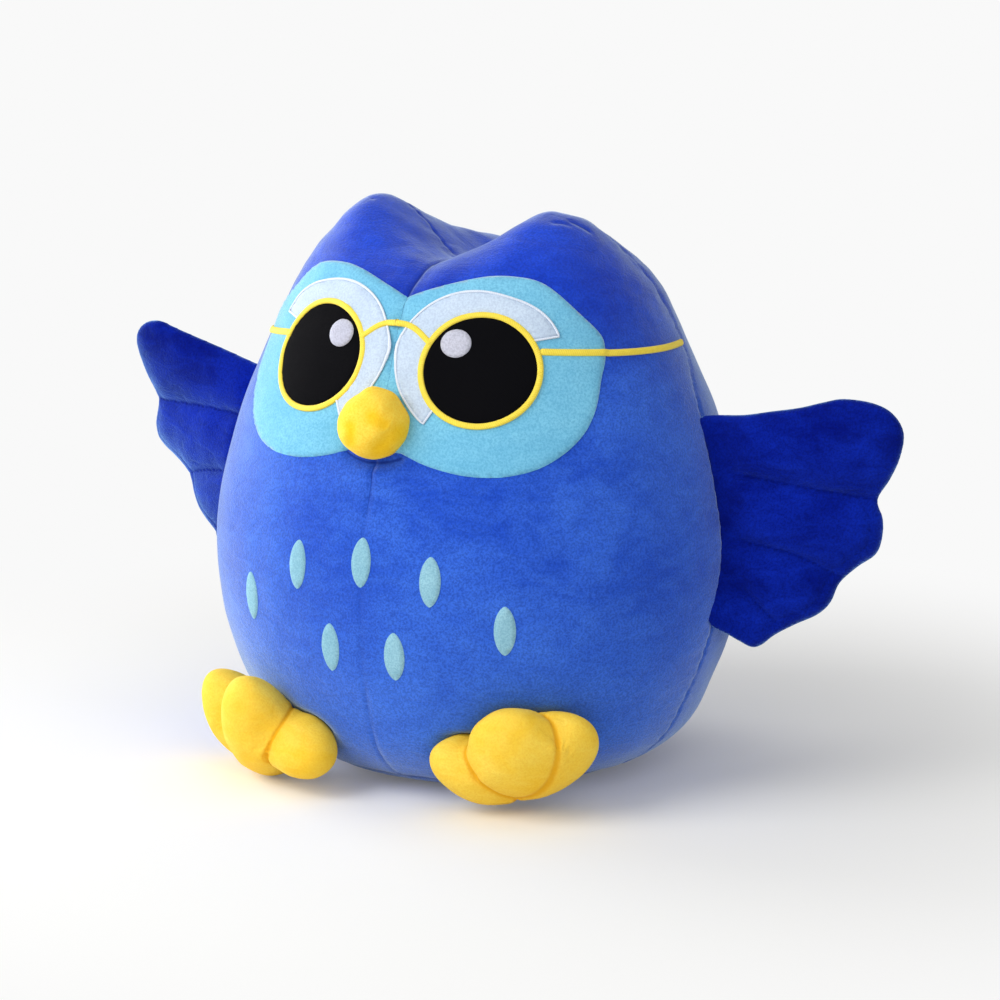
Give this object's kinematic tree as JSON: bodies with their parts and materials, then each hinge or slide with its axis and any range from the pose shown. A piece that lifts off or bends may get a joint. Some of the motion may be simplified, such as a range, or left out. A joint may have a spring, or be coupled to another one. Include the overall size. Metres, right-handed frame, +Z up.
{
  "type": "plush owl",
  "caption": "Round stuffed toy owl with short-pile panels, embroidered spectacles, a stuffed beak, flat flapping wings and three-toed feet; it sits on a flat base.",
  "frame": {"origin": "centre of the flat base that the owl sits on", "axes": "+Z up from the base to the crown, -Y the way the face looks, +X towards the owl's own left wing"},
  "size_m": [0.4385, 0.2382, 0.2797],
  "materials": {
    "body_cloth": "short pile",
    "wing_cloth": "short pile",
    "face_cloth": "short pile",
    "mark_cloth": "short pile",
    "pale_embroidery": "satin thread",
    "eye_embroidery": "woven thread",
    "yellow_thread": "satin thread",
    "beak_cloth": "short pile",
    "foot_cloth": "short pile",
    "fibre_filling": "loose fibre"
  },
  "bodies": {
    "owl": {"front_panel_left": "body_cloth", "front_panel_right": "body_cloth", "back_panel_left": "body_cloth", "back_panel_right": "body_cloth", "base_panel": "body_cloth", "stuffing": "fibre_filling", "beak_filling": "fibre_filling", "face_patch_left": "face_cloth", "face_patch_right": "face_cloth", "eye_left": "eye_embroidery", "eye_right": "eye_embroidery", "eye_crescent_left": "pale_embroidery", "eye_crescent_right": "pale_embroidery", "eye_highlight_left": "pale_embroidery", "eye_highlight_right": "pale_embroidery", "rim_left": "yellow_thread", "rim_right": "yellow_thread", "temple_left": "yellow_thread", "temple_right": "yellow_thread", "rim_bridge": "yellow_thread", "belly_mark_1": "mark_cloth", "belly_mark_2": "mark_cloth", "belly_mark_3": "mark_cloth", "belly_mark_4": "mark_cloth", "belly_mark_5": "mark_cloth", "belly_mark_6": "mark_cloth", "belly_mark_7": "mark_cloth", "beak_cover": "beak_cloth"},
    "wing_left": {"wing_left_wadding": "fibre_filling", "wing_left_front": "wing_cloth", "wing_left_back": "wing_cloth"},
    "wing_right": {"wing_right_wadding": "fibre_filling", "wing_right_front": "wing_cloth", "wing_right_back": "wing_cloth"},
    "foot_left": {"foot_left_filling": "fibre_filling", "foot_left_sole": "foot_cloth", "foot_left_top": "foot_cloth"},
    "foot_right": {"foot_right_filling": "fibre_filling", "foot_right_sole": "foot_cloth", "foot_right_top": "foot_cloth"}
  },
  "joints": [
    {"name": "wing_left_seam", "type": "hinge", "parent": "owl", "child": "wing_left", "pos_m": [0.13623, 0.00485, 0.1345], "axis": [-0.1395, 0.1207, 0.9828], "range_deg": [-42, 40], "stiffness_Nm_per_rad": 0.05},
    {"name": "wing_right_seam", "type": "hinge", "parent": "owl", "child": "wing_right", "pos_m": [-0.13623, 0.00485, 0.1345], "axis": [-0.1395, -0.1207, -0.9828], "range_deg": [-42, 40], "stiffness_Nm_per_rad": 0.05},
    {"name": "foot_left_seam", "type": "hinge", "parent": "owl", "child": "foot_left", "pos_m": [0.064, -0.05187, 0.0085], "axis": [0.7305, 0.6829, 0], "range_deg": [0, 20], "stiffness_Nm_per_rad": 0.3, "springref_deg": -5.73},
    {"name": "foot_right_seam", "type": "hinge", "parent": "owl", "child": "foot_right", "pos_m": [-0.064, -0.05187, 0.0085], "axis": [0.7305, -0.6829, 0], "range_deg": [0, 20], "stiffness_Nm_per_rad": 0.3, "springref_deg": -5.73}
  ]
}
